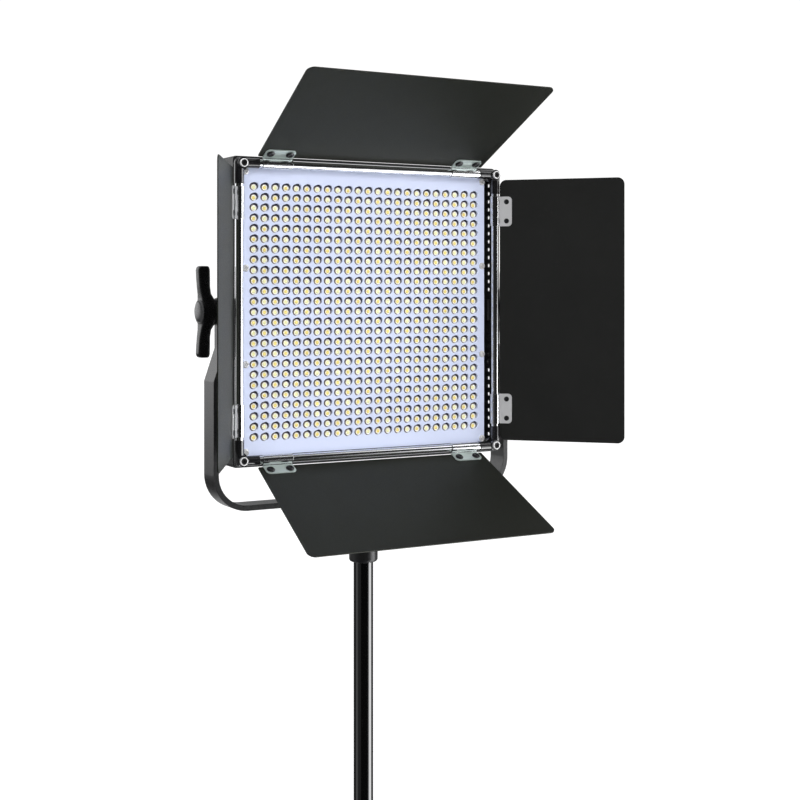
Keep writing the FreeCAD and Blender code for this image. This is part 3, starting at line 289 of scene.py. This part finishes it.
def led_field(name, want_warm, bead):
    seg = 18
    # radius, depth towards -Y from the board, material (0 cup, 1 bead, 2 outer wall and rim in painted shade)
    prof = [(3.15, 0.0), (3.15, 1.2), (3.05, 1.45), (2.7, 1.55), (2.35, 1.4), (1.95, 0.95), (1.90, 0.95), (1.65, 1.35),
            (1.05, 1.62), (0.45, 1.72)]
    verts, faces, idx = [], [], []
    for i in range(COLS):
        for j in range(ROWS):
            jj = min(j, ROWS - 2)
            if ((i + jj) % 2 == 1) != want_warm:
                continue
            cx = (i - (COLS - 1) / 2) * DX + LED_PUSH
            cz = ((ROWS - 1) / 2 - j) * DZ + LED_DROP
            b0 = len(verts)
            for r, h in prof:
                for k in range(seg):
                    a = 2 * math.pi * k / seg
                    verts.append(((cx + r * math.cos(a)) * MM, (BOARD_Y - h) * MM, TZ + (cz + r * math.sin(a)) * MM))
            tip = len(verts)
            verts.append((cx * MM, (BOARD_Y - 1.76) * MM, TZ + cz * MM))
            for p in range(len(prof) - 1):
                for k in range(seg):
                    k2 = (k + 1) % seg
                    faces.append((b0 + p * seg + k, b0 + p * seg + k2, b0 + (p + 1) * seg + k2, b0 + (p + 1) * seg + k))
                    # index 2, the three outer bands, takes the brown painted shade
                    idx.append(1 if p >= 6 else 2 if p < 3 else 0)
            for k in range(seg):
                faces.append((b0 + (len(prof) - 1) * seg + k, b0 + (len(prof) - 1) * seg + (k + 1) % seg, tip))
                idx.append(1)
    return mesh_object(name, verts, faces, [M["led_white"], bead, M["led_rim_painted_shade"]], idx)


lo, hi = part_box("leds_warm")
LED_DROP = ((lo[2] + hi[2]) / 2 - TZ) / MM
LED_PUSH = (lo[0] + hi[0]) / 2 / MM
warm = led_field("led_cups_warm", True, M["warm"])
cool = led_field("led_cups_cool", False, M["cool"])
for o, n in ((warm, "leds_warm"), (cool, "leds_cool")):
    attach(o, "head")
    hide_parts(n)


# tilt knobs: moulded T handles, blended between hub and wings, with a domed cap set in a ring groove
def tilt_knob(side, s):
    bm = bmesh.new()

    def add_cone(r1, r2, x0, x1, seg=48):
        m = Matrix.Translation((s * (x0 + x1) / 2 * MM, 0, TZ)) @ Matrix.Rotation(math.pi / 2 * s, 4, "Y")
        bmesh.ops.create_cone(bm, cap_ends=True, segments=seg, radius1=r1 * MM, radius2=r2 * MM,
                              depth=(x1 - x0) * MM, matrix=m)

    add_cone(13.4, 13.4, 155.5, 158.4)
    add_cone(12.5, 12.3, 158.0, 170.0)
    add_cone(12.0, 11.8, 170.0, 175.4)
    # wings: stations along Z, each a rounded rectangle, half width in Y and x from inner to outer
    half = [(43.4, 4.3, 168.0, 175.4), (42.4, 5.1, 166.8, 177.0), (39.8, 5.4, 166.2, 177.9), (32, 5.4, 166.0, 177.5),
            (24, 5.5, 166.0, 176.8), (17, 6.2, 165.2, 175.8), (12, 8.2, 162.5, 175.2), (6, 10.4, 158.5, 175.0)]
    stations = [(-z, hy, xa, xb) for z, hy, xa, xb in half] + [(0, 11.0, 157.5, 175.0)] + half[::-1]
    rings = []
    for z, hy, xa, xb in stations:
        cxm, hx = (xa + xb) / 2, (xb - xa) / 2
        ring = []
        for k in range(24):
            a = 2 * math.pi * k / 24
            ca, sa = math.cos(a), math.sin(a)
            px = math.copysign(abs(ca) ** 0.32, ca) * hx
            py = math.copysign(abs(sa) ** 0.38, sa) * hy
            ring.append(bm.verts.new((s * (cxm + px) * MM, py * MM, TZ + z * MM)))
        rings.append(ring)
    for a, c in zip(rings, rings[1:]):
        for k in range(24):
            bm.faces.new((a[k], a[(k + 1) % 24], c[(k + 1) % 24], c[k]))
    bm.faces.new(rings[0])
    bm.faces.new(rings[-1])
    bmesh.ops.recalc_face_normals(bm, faces=bm.faces[:])
    me = bpy.data.meshes.new("tilt_handle_" + side)
    bm.to_mesh(me)
    bm.free()
    o = bpy.data.objects.new("tilt_handle_" + side, me)
    bpy.context.scene.collection.objects.link(o)
    me.materials.append(M["knob"])
    r = o.modifiers.new("remesh", "REMESH")
    r.mode = "VOXEL"
    r.voxel_size = 0.0007
    r.use_smooth_shade = True
    sm = o.modifiers.new("smooth", "SMOOTH")
    sm.factor = 0.5
    sm.iterations = 5
    dg = bpy.context.evaluated_depsgraph_get()
    baked = bpy.data.meshes.new_from_object(o.evaluated_get(dg))
    o.modifiers.clear()
    o.data = baked
    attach(o, "tilt_lock_" + side)
    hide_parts("tilt_knob_" + side)
    # cap, turned profile: radius, outward x
    prof = [(11.3, 174.4), (11.3, 175.6), (10.9, 176.1), (10.4, 176.2), (10.2, 175.8), (10.0, 175.8), (9.8, 176.2),
            (9.5, 176.8), (8.2, 177.35), (6.0, 177.75), (3.0, 178.0)]
    seg = 56
    verts, faces = [], []
    for rr, x in prof:
        for k in range(seg):
            a = 2 * math.pi * k / seg
            verts.append((s * x * MM, rr * MM * math.cos(a), TZ + rr * MM * math.sin(a)))
    tip = len(verts)
    verts.append((s * 178.05 * MM, 0, TZ))
    for p in range(len(prof) - 1):
        for k in range(seg):
            k2 = (k + 1) % seg
            f = (p * seg + k, p * seg + k2, (p + 1) * seg + k2, (p + 1) * seg + k)
            faces.append(f if s > 0 else f[::-1])
    for k in range(seg):
        f = ((len(prof) - 1) * seg + k, (len(prof) - 1) * seg + (k + 1) % seg, tip)
        faces.append(f if s > 0 else f[::-1])
    cap = mesh_object("tilt_handle_cap_" + side, verts, faces, [M["knob_cap"]])
    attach(cap, "tilt_lock_" + side)


M["knob"] = surface("knob_moulding", (0.004, 0.004, 0.0042), 0.28, spec=0.36, vary=0.1, grain=1700, bump=0.02, dust=0.01)
M["knob_cap"] = surface("knob_cap", (0.050, 0.050, 0.052), 0.30, spec=0.5, vary=0.1, grain=1700, bump=0.012)
tilt_knob("left", -1)
tilt_knob("right", 1)

# ------------------------------------------------------------------ stage
# Pale paper floor. Rays from the lens see it almost white; bounced rays see plain grey paper.
floor_m, nt, p = new_mat("floor_paper")
tc = nt.nodes.new("ShaderNodeTexCoord")
f = noise(nt, tc.outputs["Object"], 30.0, 4.0)
nt.links.new(mix(nt, ramp(nt, f, 0.3, 0.7, 0, 1), (0.50, 0.50, 0.50), (0.53, 0.53, 0.53)), p.inputs["Base Color"])
p.inputs["Roughness"].default_value = 0.9
p.inputs["Specular IOR Level"].default_value = 0.0
em = nt.nodes.new("ShaderNodeEmission")
em.inputs["Strength"].default_value = 0.80
add = nt.nodes.new("ShaderNodeAddShader")
lp = nt.nodes.new("ShaderNodeLightPath")
sel = nt.nodes.new("ShaderNodeMixShader")
nt.links.new(p.outputs[0], add.inputs[0])
nt.links.new(em.outputs[0], add.inputs[1])
nt.links.new(lp.outputs["Is Camera Ray"], sel.inputs[0])
nt.links.new(p.outputs[0], sel.inputs[1])
nt.links.new(add.outputs[0], sel.inputs[2])
nt.links.new(sel.outputs[0], [n for n in nt.nodes if n.type == "OUTPUT_MATERIAL"][0].inputs[0])
bpy.ops.mesh.primitive_plane_add(size=60, location=(0, 3, -0.0006))
floor = bpy.context.object
floor.name = "floor"
floor.data.materials.append(floor_m)
floor.visible_glossy = False

# Studio surroundings: white behind the object, a tall soft box on the right, a narrow one on the left, a soft
# overhead bank and a dark room between them.
world = bpy.data.worlds.new("studio")
bpy.context.scene.world = world
world.use_nodes = True
wt = world.node_tree
wt.nodes.clear()
wo = wt.nodes.new("ShaderNodeOutputWorld")


def wmath(op, a, b=None, c=None):
    n = wt.nodes.new("ShaderNodeMath")
    n.operation = op
    for i, v in enumerate((a, b, c)):
        if v is None:
            continue
        if isinstance(v, (int, float)):
            n.inputs[i].default_value = v
        else:
            wt.links.new(v, n.inputs[i])
    return n.outputs[0]


def wdot(v, k):
    n = wt.nodes.new("ShaderNodeVectorMath")
    n.operation = "DOT_PRODUCT"
    wt.links.new(v, n.inputs[0])
    n.inputs[1].default_value = k
    return n.outputs["Value"]


def wstep(x, lo, hi):
    n = wt.nodes.new("ShaderNodeMapRange")
    n.interpolation_type = "SMOOTHSTEP"
    n.inputs["From Min"].default_value = lo
    n.inputs["From Max"].default_value = hi
    n.inputs["To Min"].default_value = 0.0
    n.inputs["To Max"].default_value = 1.0
    wt.links.new(x, n.inputs["Value"])
    return n.outputs["Result"]


def wband(x, lo, hi, edge):
    return wmath("MULTIPLY", wstep(x, lo - edge, lo + edge), wmath("SUBTRACT", 1.0, wstep(x, hi - edge, hi + edge)))


wtc = wt.nodes.new("ShaderNodeTexCoord")
direction = wtc.outputs["Generated"]
front = wdot(direction, (-0.4906, -0.8714, 0.0))
right = wdot(direction, (0.8714, -0.4906, 0.0))
up = wdot(direction, (0.0, 0.0, 1.0))
turn = wmath("MULTIPLY", wmath("ARCTAN2", right, front), 180 / math.pi)
level = wmath("MULTIPLY", wmath("ARCSINE", up), 180 / math.pi)
# each: radiance, azimuth band (degrees, + to the right of the lens), its softness, height band, its softness
BANKS = [
    (2.2, 72, 122, 6, -2, 50, 5),
    (0.55, -94, -70, 8, -2, 50, 5),
    (0.85, 148, 400, 8, -60, 3, 4),
    (0.85, -400, -148, 8, -60, 3, 4),
    (0.42, 148, 400, 8, 3, 60, 4),
    (0.42, -400, -148, 8, 3, 60, 4),
    (1.70, -146, -102, 6, -5.5, 30, 3.5),
    (0.36, -400, 400, 5, 40, 200, 12),
    (0.35, 20, 100, 20, -95, -30, 10),
]
# reflected only: the tall light strips whose streaks run down glossy round parts below the lens
STRIPS = [
    (8.5, 70, 100, 15, -60, -2, 2),
    (0.8, -92, -68, 18, -60, -2, 2),
    (0.15, -56, -28, 6, -60, -2, 2),
]


def bank_sum(rows, base):
    total = wmath("ADD", base, 0.0)
    for power, a0, a1, ae, e0, e1, ee in rows:
        m = wmath("MULTIPLY", wband(turn, a0, a1, ae), wband(level, e0, e1, ee))
        total = wmath("ADD", total, wmath("MULTIPLY", m, power))
    return total


lp = wt.nodes.new("ShaderNodeLightPath")
ambient = wmath("MULTIPLY", wmath("SUBTRACT", 1.0, lp.outputs["Is Glossy Ray"]), 0.08)
strips = wmath("MULTIPLY", bank_sum(STRIPS, 0.0), lp.outputs["Is Glossy Ray"])
total = wmath("ADD", wmath("ADD", bank_sum(BANKS, 0.015), ambient), strips)
bg_seen = wt.nodes.new("ShaderNodeBackground")
bg_seen.inputs[0].default_value = (1, 1, 1, 1)
bg_seen.inputs[1].default_value = 1.05
bg_light = wt.nodes.new("ShaderNodeBackground")
bg_light.inputs[0].default_value = (0.985, 0.99, 1.0, 1)
wt.links.new(total, bg_light.inputs[1])
mx = wt.nodes.new("ShaderNodeMixShader")
wt.links.new(lp.outputs["Is Camera Ray"], mx.inputs[0])
wt.links.new(bg_light.outputs[0], mx.inputs[1])
wt.links.new(bg_seen.outputs[0], mx.inputs[2])
wt.links.new(mx.outputs[0], wo.inputs[0])


def area(name, loc, target, size, power, size_y=None, glossy=True):
    li = bpy.data.lights.new(name, "AREA")
    li.energy = power
    li.size = size
    if size_y:
        li.shape = "RECTANGLE"
        li.size_y = size_y
    o = bpy.data.objects.new(name, li)
    o.location = loc
    d = Vector(target) - Vector(loc)
    o.rotation_euler = d.to_track_quat("-Z", "Y").to_euler()
    o.visible_glossy = glossy
    bpy.context.scene.collection.objects.link(o)
    return o


area("front_soft", (-1.1, -2.6, 1.2), (0, 0, 0.5), 2.2, 60, 2.2, glossy=False)
area("key_right", (2.3, -1.6, 1.35), (0, 0, 0.5), 1.2, 15, 1.6)
area("left_wash", (-2.6, -1.6, 0.9), (-0.2, -0.1, 0.5), 1.0, 12, 2.0, glossy=False)

cam_d = bpy.data.cameras.new("camera")
cam_d.sensor_width = 36.0
cam_d.lens = 63.0
cam_d.shift_y = -0.135
cam = bpy.data.objects.new("camera", cam_d)
cam.location = (-0.6596, -1.2467, 0.5238)
cam.rotation_euler = (math.radians(90), 0, math.radians(-29.38))
bpy.context.scene.collection.objects.link(cam)
bpy.context.scene.camera = cam
bpy.context.scene.view_settings.view_transform = "Standard"
